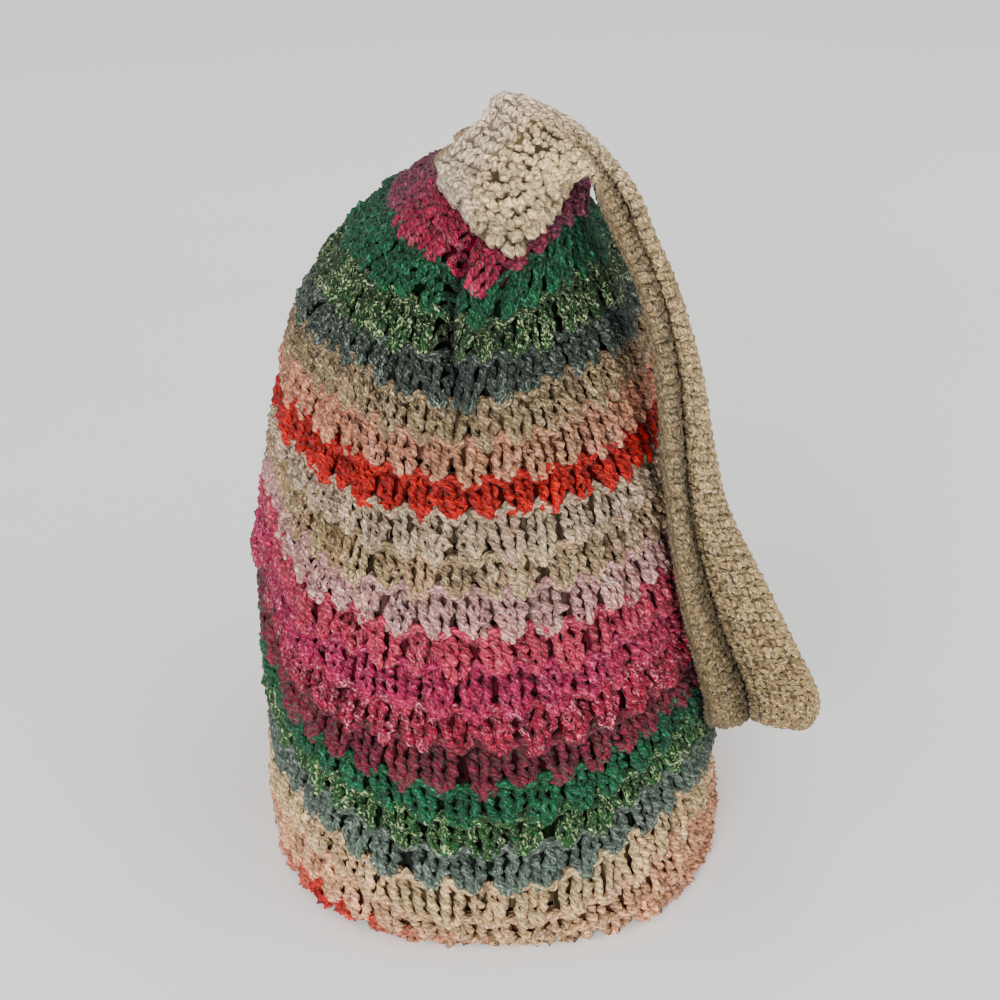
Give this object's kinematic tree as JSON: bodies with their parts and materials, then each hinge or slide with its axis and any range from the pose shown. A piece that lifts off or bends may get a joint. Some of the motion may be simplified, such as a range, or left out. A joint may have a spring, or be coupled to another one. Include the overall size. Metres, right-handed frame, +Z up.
{
  "type": "crochet beach tote",
  "caption": "Standing crochet tote with striped cluster-stitch body, open drawn-in mouth and one beige strap hanging down at its side.",
  "frame": {"origin": "on the floor under the middle of the base", "axes": "+Z up, +Y along the length of the bag away from the end that the picture shows, +X to the side where the strap hangs"},
  "size_m": [0.2649, 0.3828, 0.3649],
  "materials": {
    "striped_crochet": "yarn",
    "beige_crochet": "yarn"
  },
  "bodies": {
    "root": {"bag_body": "striped_crochet", "strap": "beige_crochet", "rim_left": "beige_crochet", "rim_right": "beige_crochet"}
  },
  "joints": []
}
